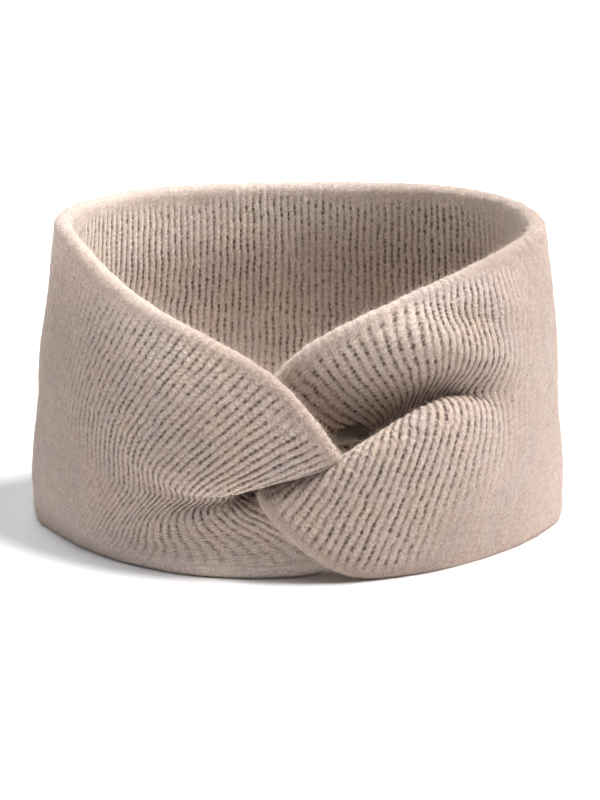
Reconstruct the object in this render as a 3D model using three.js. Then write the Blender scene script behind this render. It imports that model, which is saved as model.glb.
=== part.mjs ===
// An ear warmer headband: one thick felted strip set on its edge. Each end of the strip is folded
// lengthwise, the two folds hook into each other at the front and are sewn together behind the twist.
import * as THREE from "three";

// Driving dimensions in millimetres. The twist faces -Y and +Z is up.
const HALF_WIDTH = 100; // outside width, halved
const FRONT = 70; // middle of the band to the wall beside the twist
const HEIGHT = 116; // the band's highest edge above the surface
const WALL = 7; // thickness of the doubled, felted strip
const TWIST_WALL = 5; // thickness of the strip where it is pulled together
const REST = 2.4; // middle of the bottom edge above the surface: under half a wall, so it rests flat

// The seam behind the twist: four layers, one on the other, along a leaning line.
const SEAM_X = 0.5;
const SEAM_Y = -47;
const SEAM_Z = 35;
const SEAM_LEAN = 11; // degrees, the right end is higher
const SEAM_HALF = 20;
const LAYER = 5.4; // from one layer to the next
const GAP = 0.3;

// The loop behind the arms. top, middle and bottom are how far it reaches at those levels, in shares of
// HALF_WIDTH, or of FRONT at the back. corner is how square it is in plan. drop is how much lower its top
// edge is at the side, a share of HEIGHT. bulge is how far it swells above and below its middle, in
// shares of WALL.
const LOOP = {
  left: { top: 0.872, middle: 0.944, bottom: 0.985, corner: 2.15, drop: 0.012, bulge: [-0.55, 0.42] },
  right: { top: 0.865, middle: 0.925, bottom: 0.968, corner: 2.8, drop: 0.026, bulge: [-0.3, 0.3] },
  back: { top: 0.85, middle: 0.88, bottom: 0.871 },
};
const TOP_EDGE = 0.968; // middle of the loop's top edge, a share of HEIGHT
// Degrees round from +X
const LOOP_ANGLES = [184, 170, 156, 142, 128, 114, 102, 90, 78, 66, 52, 38, 24, 10, -4];

// Across the seam: the front lobe's free edge, the fold's base and the hidden flap's free edge. q is a
// share of SEAM_HALF along the seam, away from the arm. out is how far in front of the seam, a share of
// WALL.
const SEAM_ROWS = [
  { lobe: { q: 0.76, out: 0 }, base: { q: -1.18, out: 0 }, flap: { q: 0.95, out: 0 } },
  { lobe: { q: 0.76, out: 1.35 }, base: { q: -1.18, out: 0.7 }, flap: { q: 0.95, out: 0.57 } },
];

// A row is one section across the strip: its top edge, the lengthwise fold and its bottom edge, in
// shares of HALF_WIDTH, FRONT and HEIGHT. An edge with null for z lies on the surface. turn is the way
// the fold opens, in degrees from +X round to the front, and lean tilts the section, in degrees. The
// others are shares of WALL, and the pairs are above and below the fold. lips is how far the strip
// stands out from the fold's base. spread is how far the lip is from the base, away from the fold, and
// under 0 it overhangs the fold. gape is the height of the base and crown the bulge of the flap. Both
// tables run from the twist outwards.
const LEFT_ARM = [
  {
    top: [0.12, -0.936, 0.354], fold: [-0.24, -0.807, 0.241], bottom: [0.2, -0.786, 0.207],
    turn: 40, lean: 11, lips: [1.7, 0.6], spread: [-0.05, 0], gape: 1.5, crown: [0.07, 0],
  },
  {
    top: [0.09, -0.943, 0.409], fold: [-0.29, -0.83, 0.237], bottom: [0.2, -0.814, 0.086],
    turn: 75, lean: 8, lips: [1.2, 0.55], spread: [-0.15, 0.05], gape: 1.3, crown: [0.15, 0],
  },
  {
    top: [0.01, -0.936, 0.496], fold: [-0.35, -0.814, 0.233], bottom: [0.07, -0.885, null],
    turn: 90, lean: 4, lips: [1.1, 0.55], spread: [0.05, 0.25], gape: 1.2, crown: [0.3, -0.15],
  },
  {
    top: [-0.1, -0.871, 0.595], fold: [-0.45, -0.786, 0.233], bottom: [-0.12, -0.925, null],
    turn: 102, lean: 0, lips: [0.8, 0.45], spread: [0.45, 0.7], gape: 1.3, crown: [0.5, -0.07],
  },
  {
    top: [-0.29, -0.729, 0.668], fold: [-0.57, -0.721, 0.241], bottom: [-0.36, -0.9, null],
    turn: 112, lean: 0, lips: [0.1, 0.2], spread: [1.5, 1.4], gape: 1.85, crown: [0.55, 0],
  },
  {
    top: [-0.51, -0.543, 0.733], fold: [-0.7, -0.593, 0.276], bottom: [-0.6, -0.74, null],
    turn: 125, lean: 0, lips: [-0.1, 0.25], spread: [1.85, 1.85], gape: 2.15, crown: [0.4, 0.15],
  },
  {
    top: [-0.69, -0.343, 0.819], fold: [-0.83, -0.407, 0.328], bottom: [-0.79, -0.495, null],
    turn: 140, lean: 0, lips: [-0.5, 0.42], spread: [2.15, 2.15], gape: 2.3, crown: [0.1, 0.2],
  },
  {
    top: [-0.8, -0.171, 0.905], fold: [-0.908, -0.2, 0.388], bottom: [-0.91, -0.245, null],
    turn: 160, lean: 0, lips: [-0.6, 0.46], spread: [2.3, 2.3], gape: 2.3, crown: [0, 0.2],
  },
];
const RIGHT_ARM = [
  {
    top: [-0.18, -0.764, 0.422], fold: [0.23, -0.786, 0.371], bottom: [-0.135, -0.943, 0.257],
    turn: 140, lean: 11, lips: [0.3, 1.8], spread: [0, 0.32], gape: 1.55, crown: [0, 0.14],
  },
  {
    top: [-0.11, -0.743, 0.53], fold: [0.27, -0.785, 0.402], bottom: [-0.05, -0.986, 0.177],
    turn: 115, lean: 11, lips: [0.2, 1.9], spread: [0.1, -0.28], gape: 1.4, crown: [0, 0.2],
  },
  {
    top: [-0.02, -0.721, 0.62], fold: [0.33, -0.765, 0.445], bottom: [0.06, -0.98, 0.095],
    turn: 95, lean: 11, lips: [0.4, 1.95], spread: [0.3, -0.8], gape: 1.3, crown: [0.05, 0.3],
  },
  {
    top: [0.09, -0.7, 0.685], fold: [0.4, -0.745, 0.493], bottom: [0.18, -0.96, 0.03],
    turn: 85, lean: 7, lips: [0.5, 1.85], spread: [0.5, -0.8], gape: 1.25, crown: [0.1, 0.45],
  },
  {
    top: [0.23, -0.671, 0.741], fold: [0.48, -0.735, 0.54], bottom: [0.32, -0.91, null],
    turn: 75, lean: 3, lips: [0.4, 1.45], spread: [0.7, -0.5], gape: 1.3, crown: [0.1, 0.5],
  },
  {
    top: [0.41, -0.6, 0.797], fold: [0.58, -0.71, 0.55], bottom: [0.5, -0.8, null],
    turn: 65, lean: 0, lips: [0.1, 0.7], spread: [1.2, 0.4], gape: 1.6, crown: [0.15, 0.5],
  },
  {
    top: [0.565, -0.486, 0.845], fold: [0.71, -0.6, 0.543], bottom: [0.65, -0.643, null],
    turn: 52, lean: 0, lips: [-0.1, 0.15], spread: [1.7, 1.6], gape: 2.15, crown: [0.15, 0.35],
  },
  {
    top: [0.7, -0.343, 0.884], fold: [0.815, -0.414, 0.517], bottom: [0.79, -0.471, null],
    turn: 38, lean: 0, lips: [-0.2, 0.2], spread: [2, 2], gape: 2.3, crown: [0.1, 0.2],
  },
  {
    top: [0.81, -0.2, 0.914], fold: [0.89, -0.2, 0.474], bottom: [0.905, -0.243, null],
    turn: 20, lean: 0, lips: [-0.3, 0.3], spread: [2.3, 2.3], gape: 2.3, crown: [0, 0.15],
  },
];

// Soft dents: the middle in shares of HALF_WIDTH, FRONT and HEIGHT, and half the length and width and
// the depth in shares of WALL, where a depth under 0 stands out. tilt is in degrees, and falls to the
// right when under 0. way is the direction that it is pushed in, in degrees round from +X.
const DENTS = [
  { at: [0.6, -0.66, 0.735], half: [2.6, 0.95], depth: 0.6, tilt: -14, way: 118 },
  { at: [0.58, -0.72, 0.645], half: [2.8, 1.0], depth: -0.3, tilt: -14, way: 118 },
];

// How finely the surface is cut: points between two rows of the arms and of the loop, between two
// guide points across the strip, and round an edge.
const ARM_STEPS = 4;
const LOOP_STEPS = 2;
const CROSS_STEPS = 3;
const EDGE_POINTS = 3;
const TWIST_ROWS = 5; // over this many rows from an end the strip gains its full thickness

const WOOL = new THREE.MeshStandardMaterial({ color: 0xb7a28a, roughness: 0.95, metalness: 0 });
const SEAM_WOOL = new THREE.MeshStandardMaterial({ color: 0xa8937b, roughness: 0.95, metalness: 0 });

const radians = THREE.MathUtils.degToRad;

// A place given in shares of the driving dimensions.
function place([x, y, z]) {
  return new THREE.Vector3(x * HALF_WIDTH, y * FRONT, z === null ? REST : z * HEIGHT);
}

// A place on the seam's stack: q along the leaning seam, level counted in layers, out in front of it.
function onSeam(q, level, out) {
  const lean = radians(SEAM_LEAN);
  const along = q * SEAM_HALF;
  const up = level * LAYER;
  return new THREE.Vector3(
    SEAM_X + along * Math.cos(lean) - up * Math.sin(lean),
    SEAM_Y - out * WALL,
    SEAM_Z + along * Math.sin(lean) + up * Math.cos(lean),
  );
}

// The eight guide points of one section: top edge, upper flap, upper lip, the fold's base twice, lower
// lip, lower flap and bottom edge.
function section(row) {
  const lean = radians(row.lean);
  const turn = radians(row.turn);
  const up = new THREE.Vector3(-Math.sin(lean), 0, Math.cos(lean));
  const level = new THREE.Vector3(Math.cos(lean), 0, Math.sin(lean));
  const front = new THREE.Vector3(0, -1, 0);
  const out = level.multiplyScalar(Math.cos(turn)).addScaledVector(front, Math.sin(turn));
  const base = (sign) => row.fold.clone().addScaledVector(up, (sign * row.gape * WALL) / 2);
  const lip = (sign, reach, apart) =>
    base(sign)
      .addScaledVector(out, reach * WALL)
      .addScaledVector(up, sign * apart * WALL);
  const upperLip = lip(1, row.lips[0], row.spread[0]);
  const lowerLip = lip(-1, row.lips[1], row.spread[1]);
  const upperFlap = row.top.clone().lerp(upperLip, 0.5).addScaledVector(out, row.crown[0] * WALL);
  const lowerFlap = row.bottom.clone().lerp(lowerLip, 0.5).addScaledVector(out, row.crown[1] * WALL);
  return [row.top, upperFlap, upperLip, base(1), base(-1), lowerLip, lowerFlap, row.bottom];
}

function armSection(row) {
  return section({ ...row, top: place(row.top), fold: place(row.fold), bottom: place(row.bottom) });
}

// The left end has its lobe above its flap. The right end is the same turned half round, so its lobe is
// below its flap.
function seamSection({ lobe, base, flap }, side) {
  const lobeEdge = onSeam(-side * lobe.q, -side * 0.5, lobe.out);
  const flapEdge = onSeam(-side * flap.q, side * 1.5, flap.out);
  return section({
    top: side < 0 ? lobeEdge : flapEdge,
    fold: onSeam(-side * base.q, side * 0.5, base.out),
    bottom: side < 0 ? flapEdge : lobeEdge,
    turn: side < 0 ? 0 : 180,
    lean: SEAM_LEAN,
    lips: [0.86, 0.86],
    gape: (2 * LAYER) / WALL,
    spread: [0, 0],
    crown: [0, 0],
  });
}

// A section of the loop behind the arms, at an angle round from +X.
function loopSection(degrees) {
  const c = Math.cos(radians(degrees));
  const s = Math.sin(radians(degrees));
  const side = c < 0 ? LOOP.left : LOOP.right;
  const reach = (level, z) => {
    const wide = Math.abs(c / (side[level] * HALF_WIDTH)) ** side.corner;
    const deep = Math.abs(s / (LOOP.back[level] * FRONT)) ** side.corner;
    const r = (wide + deep) ** (-1 / side.corner);
    return new THREE.Vector3(r * c, r * s, z);
  };
  const drop = side.drop * THREE.MathUtils.clamp(1 - s / 0.6, 0, 1);
  return section({
    top: reach("top", (TOP_EDGE - drop) * HEIGHT),
    fold: reach("middle", HEIGHT / 2),
    bottom: reach("bottom", REST),
    turn: -degrees,
    lean: 0,
    lips: side.bulge,
    gape: 2.3,
    spread: [2.3, 2.3],
    crown: [0, 0.15],
  });
}

const net = [
  ...SEAM_ROWS.map((row) => seamSection(row, -1)),
  ...LEFT_ARM.map(armSection),
  ...LOOP_ANGLES.map(loopSection),
  ...RIGHT_ARM.map(armSection).reverse(),
  ...SEAM_ROWS.map((row) => seamSection(row, 1)).reverse(),
];
const armRows = SEAM_ROWS.length + LEFT_ARM.length;
const lastRow = net.length - 1;
const lastColumn = net[0].length - 1;

// A point on a cubic spline through the middle of its guide points, ending at the first and the last of them.
function spline(points, at) {
  const last = points.length - 1;
  const i = Math.min(Math.floor(at), last - 1);
  const t = at - i;
  const before = 1 - t;
  const weights = [
    before ** 3,
    3 * t ** 3 - 6 * t ** 2 + 4,
    3 * before ** 3 - 6 * before ** 2 + 4,
    t ** 3,
  ];
  const beyond = (end, next) => points[end].clone().multiplyScalar(2).sub(points[next]);
  const sum = new THREE.Vector3();
  weights.forEach((weight, k) => {
    const j = i + k - 1;
    const point = j < 0 ? beyond(0, 1) : j > last ? beyond(last, last - 1) : points[j];
    sum.addScaledVector(point, weight / 6);
  });
  return sum;
}

function dented(point) {
  const moved = point.clone();
  for (const { at, half, depth, tilt, way } of DENTS) {
    const offset = point.clone().sub(place(at));
    const c = Math.cos(radians(tilt));
    const s = Math.sin(radians(tilt));
    const aside = Math.hypot(offset.x, offset.y) * Math.sign(offset.x);
    const along = (aside * c + offset.z * s) / (half[0] * WALL);
    const across = (offset.z * c - aside * s) / (half[1] * WALL);
    const push = depth * WALL * Math.exp(-(along ** 2) - across ** 2);
    moved.x += push * Math.cos(radians(way));
    moved.y += push * Math.sin(radians(way));
  }
  return moved;
}

// A point of the strip's middle surface: row along the strip, column across it.
function middle(row, column) {
  const across = net[0].map((_, k) => spline(net.map((points) => points[k]), row));
  return dented(spline(across, column));
}

function wallAt(row) {
  const inwards = THREE.MathUtils.smoothstep(Math.min(row, lastRow - row), 1, TWIST_ROWS);
  return TWIST_WALL + (WALL - TWIST_WALL) * inwards;
}

// The closed outline of the strip at a row: outer face, round bottom edge, inner face, round top edge.
function outline(row, columns) {
  const step = 0.01;
  const half = wallAt(row) / 2;
  const points = columns.map((column) => middle(row, column));
  const across = columns.map((column) => {
    const after = middle(row, Math.min(column + step, lastColumn));
    return after.sub(middle(row, Math.max(column - step, 0))).normalize();
  });
  const normals = columns.map((column, k) => {
    const after = middle(Math.min(row + step, lastRow), column);
    const along = after.sub(middle(Math.max(row - step, 0), column));
    return along.cross(across[k]).normalize();
  });
  const edge = (k, sign) =>
    Array.from({ length: EDGE_POINTS }, (_, j) => {
      const angle = (Math.PI * (j + 1)) / (EDGE_POINTS + 1);
      return points[k]
        .clone()
        .addScaledVector(normals[k], sign * half * Math.cos(angle))
        .addScaledVector(across[k], sign * half * Math.sin(angle));
    });
  const face = (sign) =>
    points.map((point, k) => point.clone().addScaledVector(normals[k], sign * half));
  const bottom = columns.length - 1;
  const ring = [...face(1), ...edge(bottom, 1), ...face(-1).reverse(), ...edge(0, -1)];
  ring.forEach((point) => {
    point.z = Math.max(point.z, 0);
  });
  return ring;
}

function steps(from, to, perUnit) {
  const count = Math.round((to - from) * perUnit);
  return Array.from({ length: count }, (_, k) => from + k / perUnit);
}

// The strip as one closed body: rings joined in turn, and both cut ends covered.
function stripGeometry() {
  const rows = [
    ...steps(0, armRows, ARM_STEPS),
    ...steps(armRows, lastRow - armRows, LOOP_STEPS),
    ...steps(lastRow - armRows, lastRow, ARM_STEPS),
    lastRow,
  ];
  const columns = [...steps(0, lastColumn, CROSS_STEPS), lastColumn];
  const rings = rows.map((row) => outline(row, columns));
  const size = rings[0].length;
  const index = [];
  const quad = (a, b, c, d) => index.push(a, b, c, a, c, d);
  for (let i = 0; i < rings.length - 1; i++) {
    for (let j = 0; j < size; j++) {
      const k = (j + 1) % size;
      quad(i * size + j, (i + 1) * size + j, (i + 1) * size + k, i * size + k);
    }
  }
  // An end cap joins each point of the outer face to the one behind it on the inner face, and fans the
  // round edges.
  const bottom = columns.length - 1;
  const behind = (k) => 2 * bottom + EDGE_POINTS + 1 - k;
  const cover = (base, flip) => {
    const side = (a, b, c, d) => (flip ? quad(d, c, b, a) : quad(a, b, c, d));
    for (let k = 0; k < bottom; k++) {
      side(base + k, base + k + 1, base + behind(k + 1), base + behind(k));
    }
    const fan = (first, last, from) => {
      const end = from + EDGE_POINTS;
      for (let j = from; j < end; j++) {
        const next = j + 1 < end ? base + j + 1 : last;
        if (flip) index.push(first, next, base + j);
        else index.push(first, base + j, next);
      }
    };
    fan(base + bottom, base + behind(bottom), bottom + 1);
    fan(base + behind(0), base, behind(0) + 1);
  };
  cover(0, false);
  cover((rings.length - 1) * size, true);
  const geometry = new THREE.BufferGeometry().setFromPoints(rings.flat());
  geometry.setIndex(index);
  geometry.computeVertexNormals();
  return geometry;
}

// The sewn seam behind the four layers: a plain leaning pad with rounded ends.
function seamGeometry() {
  const halfLength = 1.25 * SEAM_HALF;
  const halfHeight = 2 * LAYER;
  const round = 0.4 * halfHeight;
  const depth = 0.75 * WALL;
  const bevel = 0.22 * WALL;
  const shape = new THREE.Shape();
  const x = halfLength - round - bevel;
  const z = halfHeight - round - bevel;
  shape.absarc(x, z, round, 0, Math.PI / 2);
  shape.absarc(-x, z, round, Math.PI / 2, Math.PI);
  shape.absarc(-x, -z, round, Math.PI, 1.5 * Math.PI);
  shape.absarc(x, -z, round, 1.5 * Math.PI, 2 * Math.PI);
  const geometry = new THREE.ExtrudeGeometry(shape, {
    depth: depth - 2 * bevel,
    bevelThickness: bevel,
    bevelSize: bevel,
    bevelSegments: 3,
    curveSegments: 5,
  });
  geometry.translate(0, 0, bevel - depth);
  geometry.rotateX(Math.PI / 2);
  geometry.rotateY(-radians(SEAM_LEAN));
  geometry.translate(SEAM_X, SEAM_Y + GAP, SEAM_Z);
  return geometry;
}

const band = new THREE.Mesh(stripGeometry(), WOOL);
band.name = "knit_band";
const seam = new THREE.Mesh(seamGeometry(), SEAM_WOOL);
seam.name = "twist_seam";

const group = new THREE.Group();
group.name = "ear_warmer_headband";
group.add(band, seam);
// The band stands with the middle of its footprint on the origin.
const box = new THREE.Box3().setFromObject(group);
group.position.set(-(box.min.x + box.max.x) / 2, -(box.min.y + box.max.y) / 2, 0);
export default group;
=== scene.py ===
"""Looks of an ear warmer headband: a felted wool strip set on its edge, whose folded ends hook together.

Laid out as an add-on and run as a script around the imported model. Lengths are in metres, +Z is up and the
twist faces -Y. The knitted surface, its fuzz and the sewn seam replace the plain solids of the model.
"""

import math

import bpy
import numpy as np
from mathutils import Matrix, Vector


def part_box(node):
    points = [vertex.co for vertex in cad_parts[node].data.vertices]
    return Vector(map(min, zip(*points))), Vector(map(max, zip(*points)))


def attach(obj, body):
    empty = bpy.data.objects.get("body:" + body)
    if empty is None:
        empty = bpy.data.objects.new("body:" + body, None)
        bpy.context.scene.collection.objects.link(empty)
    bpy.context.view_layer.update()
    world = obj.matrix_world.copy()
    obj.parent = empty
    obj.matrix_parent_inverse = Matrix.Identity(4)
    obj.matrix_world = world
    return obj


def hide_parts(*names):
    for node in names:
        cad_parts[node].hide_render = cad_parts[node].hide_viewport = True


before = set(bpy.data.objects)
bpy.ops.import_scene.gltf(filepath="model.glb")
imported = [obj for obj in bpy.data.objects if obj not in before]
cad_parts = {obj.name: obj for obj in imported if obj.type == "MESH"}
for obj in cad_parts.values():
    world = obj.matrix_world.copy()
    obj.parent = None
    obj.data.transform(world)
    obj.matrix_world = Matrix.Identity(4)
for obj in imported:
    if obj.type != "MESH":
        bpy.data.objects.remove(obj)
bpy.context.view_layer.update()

bl_info = {
    "name": "Knitted ear warmer headband",
    "version": (1, 0, 0),
    "blender": (4, 5, 0),
    "location": "View3D > Sidebar > Headband",
    "description": "Builds the knitted surface, fuzz, seam and studio of a felted wool twist headband",
    "category": "Object",
}

# Driving sizes of the strip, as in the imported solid
HALF_WIDTH = 0.100  # outside width, halved
FRONT = 0.070  # middle of the band to the wall beside the twist
HEIGHT = 0.116  # highest edge above the surface
WALL = 0.007  # thickness of the doubled strip
TWIST_WALL = 0.005  # thickness where the strip is pulled together
REST = 0.0024  # middle of the bottom edge above the surface, so that the round edge is pressed flat
TWIST_ROWS = 5  # over this many guide rows from an end the strip gains its full thickness

# The seam behind the twist: its middle, its lean in degrees, its half length and the height of one of its
# four layers
SEAM = {"x": 0.0005, "y": -0.047, "z": 0.035, "lean": 11, "half": 0.020, "layer": 0.0054}

# The loop behind the arms, in shares of HALF_WIDTH and, at the back, of FRONT; how square its corners are;
# the drop of its top edge in shares of HEIGHT; and its bulge above and below the middle in shares of WALL
LOOP = {
    "left": {
        "top": 0.872, "middle": 0.944, "bottom": 0.985,
        "corner": 2.15, "drop": 0.012, "bulge": (-0.55, 0.42),
    },
    "right": {
        "top": 0.865, "middle": 0.925, "bottom": 0.968,
        "corner": 2.8, "drop": 0.026, "bulge": (-0.3, 0.3),
    },
    "back": {"top": 0.85, "middle": 0.88, "bottom": 0.871},
}
TOP_EDGE = 0.968  # height of the top edge at the back, in shares of HEIGHT
DROP_END = 0.6  # sine of the angle round at which the top edge has its full height
UNFOLDED = 2.3  # distance of the guide points where the strip isn't folded, in shares of WALL
LOOP_ANGLES = (184, 170, 156, 142, 128, 114, 102, 90, 78, 66, 52, 38, 24, 10, -4)

# Across the seam: the lobe's free edge, the fold's base and the hidden flap's free edge, as the place along
# the seam in shares of its half length and the place in front of it in shares of WALL
SEAM_ROWS = (
    {"lobe": (0.6, 0), "base": (-1.18, 0), "flap": (0.95, 0)},
    {"lobe": (0.6, 1.1), "base": (-1.18, -0.1), "flap": (0.95, 0.3)},
)

# One section of an arm a row: top edge, lengthwise fold and bottom edge in shares of HALF_WIDTH, FRONT and
# HEIGHT, None for an edge on the surface; the way the fold opens and its lean in degrees; and in shares of
# WALL how far each lip stands out, how far it is from the base, how wide the base is and how far each flap
# bulges
ARM_COLUMNS = ("top", "fold", "bottom", "turn", "lean", "lips", "spread", "gape", "crown")
LEFT_ARM = (
    ((0.12, -0.936, 0.354), (-0.24, -0.807, 0.241), (0.2, -0.786, 0.207),
     40, 11, (1.7, 0.6), (-0.05, 0), 1.5, (0.07, 0)),
    ((0.09, -0.943, 0.409), (-0.29, -0.83, 0.237), (0.2, -0.814, 0.086),
     75, 8, (1.2, 0.55), (-0.15, 0.05), 1.3, (0.15, 0)),
    ((0.01, -0.936, 0.496), (-0.35, -0.814, 0.233), (0.07, -0.885, None),
     90, 4, (1.1, 0.55), (0.05, 0.25), 1.2, (0.3, -0.15)),
    ((-0.1, -0.871, 0.595), (-0.45, -0.786, 0.233), (-0.12, -0.925, None),
     102, 0, (0.8, 0.45), (0.45, 0.7), 1.3, (0.5, -0.07)),
    ((-0.29, -0.729, 0.668), (-0.57, -0.721, 0.241), (-0.36, -0.9, None),
     112, 0, (0.1, 0.2), (1.5, 1.4), 1.85, (0.55, 0)),
    ((-0.51, -0.543, 0.733), (-0.7, -0.593, 0.276), (-0.6, -0.74, None),
     125, 0, (-0.1, 0.25), (1.85, 1.85), 2.15, (0.4, 0.15)),
    ((-0.69, -0.343, 0.819), (-0.83, -0.407, 0.328), (-0.79, -0.495, None),
     140, 0, (-0.5, 0.42), (2.15, 2.15), 2.3, (0.1, 0.2)),
    ((-0.8, -0.171, 0.905), (-0.908, -0.2, 0.388), (-0.91, -0.245, None),
     160, 0, (-0.6, 0.46), (2.3, 2.3), 2.3, (0, 0.2)),
)
RIGHT_ARM = (
    ((-0.18, -0.64, 0.405), (0.23, -0.63, 0.325), (-0.135, -0.943, 0.257),
     140, 11, (-0.5, 3.2), (0, -0.2), 0.95, (0, 0.14)),
    ((-0.11, -0.62, 0.515), (0.27, -0.61, 0.345), (-0.05, -0.986, 0.177),
     115, 11, (-0.5, 3.7), (0.3, -1.3), 0.85, (0.4, 0.2)),
    ((-0.02, -0.61, 0.6), (0.33, -0.6, 0.38), (0.06, -0.98, 0.095),
     95, 11, (-0.5, 3.7), (0.6, -2.1), 1.05, (0.5, 0.3)),
    ((0.09, -0.65, 0.675), (0.4, -0.6, 0.435), (0.18, -0.96, 0.03),
     85, 7, (-0.3, 3.4), (0.8, -2.2), 1.2, (0.7, 0.45)),
    ((0.23, -0.671, 0.741), (0.48, -0.61, 0.495), (0.32, -0.91, None),
     75, 3, (0.3, 2.8), (1.0, -1.6), 1.3, (0.7, 0.5)),
    ((0.41, -0.6, 0.797), (0.58, -0.65, 0.535), (0.5, -0.8, None),
     65, 0, (0.3, 1.4), (1.3, -0.3), 1.5, (0.5, 0.5)),
    ((0.565, -0.486, 0.845), (0.71, -0.6, 0.543), (0.65, -0.643, None),
     52, 0, (-0.1, 0.15), (1.7, 1.4), 2.15, (0.15, 0.35)),
    ((0.7, -0.343, 0.884), (0.815, -0.414, 0.517), (0.79, -0.471, None),
     38, 0, (-0.2, 0.2), (2, 2), 2.3, (0.1, 0.2)),
    ((0.81, -0.2, 0.914), (0.89, -0.2, 0.474), (0.905, -0.243, None),
     20, 0, (-0.3, 0.3), (2.3, 2.3), 2.3, (0, 0.15)),
)
# Soft dents and ridges of the right arm: place in shares of the driving sizes, half sizes along and across
# and depth in shares of WALL, and tilt and the way that each faces, round from +X, in degrees
DENTS = (
    {"at": (0.6, -0.66, 0.735), "half": (2.6, 0.95), "depth": 0.6, "tilt": -14, "way": 118},
    {"at": (0.58, -0.72, 0.645), "half": (2.8, 1.0), "depth": -0.3, "tilt": -14, "way": 118},
)

# The knit: a wale is a column of stitches across the strip, and rows of stitches are counted round it
WALES = 186
FACE_ROWS = 52  # from the top edge to the bottom edge on one face
EDGE_ROWS = 5
ROWS_ROUND = 2 * (FACE_ROWS + EDGE_ROWS)
SEED = 11

# Points a wale, and intervals on the outer face, the inner face and each round edge
SAMPLES = {"wale": 4, "outer": 152, "inner": 74, "edge": 7}
# Points for measuring lengths: a guide row and across the strip for the wales, and across it for the rows
TRIALS = {"along": 40, "across": 29, "columns": 211}

# How the wales of the hidden flaps slant: guide rows from an end where it starts, is full, wanes and ends,
# and the most that the flap's free edge is shifted, in guide rows
SLANT = {
    "left": {"rows": (-2, 1.5, 5, 10.5), "shift": 2.1},
    "right": {"rows": (-0.8, 1.4, 5, 10.5), "shift": 2},
}

# How far the stitches are felted over at shares of the strip's length, how much more on the rims, over how
# many rows from them, and the least and the most
FELTING = {
    "places": (0.13, 0.22, 0.26, 0.36, 0.66, 0.74, 0.81, 0.895),
    "levels": (0.16, 0.74, 0.74, 0.38, 0.38, 0.93, 0.93, 0.16),
    "rims": 0.55,
    "rim_rows": 2.5,
    "range": (0.05, 0.96),
}
# How much more so towards the bottom edge: it wanes over this many rows and ends at this share of them
LOW_FELT = {
    "places": (0.07, 0.14, 0.3, 0.42, 0.7, 0.8, 0.87, 0.94),
    "levels": (0.5, 0.6, 0.6, 0, 0, 0.3, 0.45, 0),
    "rows": 22,
    "end": 1.3,
}
# Painted light: how much paler the wool is painted on the rims at shares of the strip's length, over how many
# rows from each rim, and on the inner face, standing in for light that the lamps give too little of there
PAINTED_LIGHT = {
    "places": (0.08, 0.18, 0.45, 0.6, 0.85, 0.92),
    "top": (0, 0.7, 0.7, 0.3, 0.4, 0.7),
    "top_rows": 12,
    "bottom": (1, 0.9, 0.7, 0.3, 0.3, 0),
    "bottom_rows": 22,
    "inside": 0.7,
}
# How closely the wales lie at places along the strip, in guide rows
CLOSENESS = {"rows": (0, 4, 9, 13, 22, 26, 29, 34), "shares": (1.25, 1.12, 1.1, 1, 1, 0.9, 0.95, 1.2)}

# Form of a stitch: how full the ridge is, as the power of a cosine, how far its sides lag in rows, how deep
# the notch is, the height of felted wool, and the height that lies on the strip's plain surface
STITCH = {"fullness": 0.8, "lag": 1.1, "notch": 0.4, "felted": 0.62, "level": 0.6}
# Smooth unevenness: how much, how many cells to a wale and to a row (or, for the pad's matting, to its half
# length and to a radian round it), and which seed
PATCHES = {
    "felting": {"amount": 0.34, "cells": (1 / 9, 1 / 11), "seed": 1},
    "drift": {"amount": 0.3, "cells": (1 / 2.3, 1 / 1.9), "seed": 2},
    "stitches": {"amount": 0.55, "cells": (1.3, 1.1), "seed": 3},
    "felt": {"amount": 0.5, "cells": (0.8, 0.55), "seed": 4},
    "matting": {"amount": 0.04, "cells": (22, 5), "seed": 6},
}

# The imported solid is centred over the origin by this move
CENTRING = np.array([0.000525, 0.002705, 0])

# The camera, from the photograph: the band is seen from the front and a little above
CAMERA = {"distance": 0.6434, "height": 0.2417, "pitch": 17.06, "lens": 81.0, "sensor": 36.0}
# Distant lights: degrees round to the right from the front and degrees up, how broad each is, and its colour
SUNS = {
    "key": {"bearing": (92, 58), "breadth": 22, "colour": (1.0, 0.98, 0.975)},
    "back": {"bearing": (-130, 60), "breadth": 60, "colour": (0.95, 0.97, 1.0)},
}


# Form of the strip


def place(share):
    """A place given in shares of the driving sizes."""
    x, y, z = share
    return np.array([x * HALF_WIDTH, y * FRONT, REST if z is None else z * HEIGHT])


def on_seam(along, level, out):
    """A place on the seam's stack, with level counted in layers and out in shares of WALL."""
    lean = math.radians(SEAM["lean"])
    run = along * SEAM["half"]
    up = level * SEAM["layer"]
    return np.array(
        [
            SEAM["x"] + run * math.cos(lean) - up * math.sin(lean),
            SEAM["y"] - out * WALL,
            SEAM["z"] + run * math.sin(lean) + up * math.cos(lean),
        ]
    )


def section(top, fold, bottom, turn, lean, lips, spread, gape, crown):
    """Guide points of one section: top edge, flap, lip, the fold's base twice, lip, flap and bottom edge."""
    lean = math.radians(lean)
    turn = math.radians(turn)
    up = np.array([-math.sin(lean), 0, math.cos(lean)])
    side = math.cos(turn)
    out = np.array([side * math.cos(lean), -math.sin(turn), side * math.sin(lean)])
    upper_base = fold + up * gape * WALL / 2
    lower_base = fold - up * gape * WALL / 2
    upper_lip = upper_base + (out * lips[0] + up * spread[0]) * WALL
    lower_lip = lower_base + (out * lips[1] - up * spread[1]) * WALL
    upper_flap = (top + upper_lip) / 2 + out * crown[0] * WALL
    lower_flap = (bottom + lower_lip) / 2 + out * crown[1] * WALL
    return [top, upper_flap, upper_lip, upper_base, lower_base, lower_lip, lower_flap, bottom]


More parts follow.
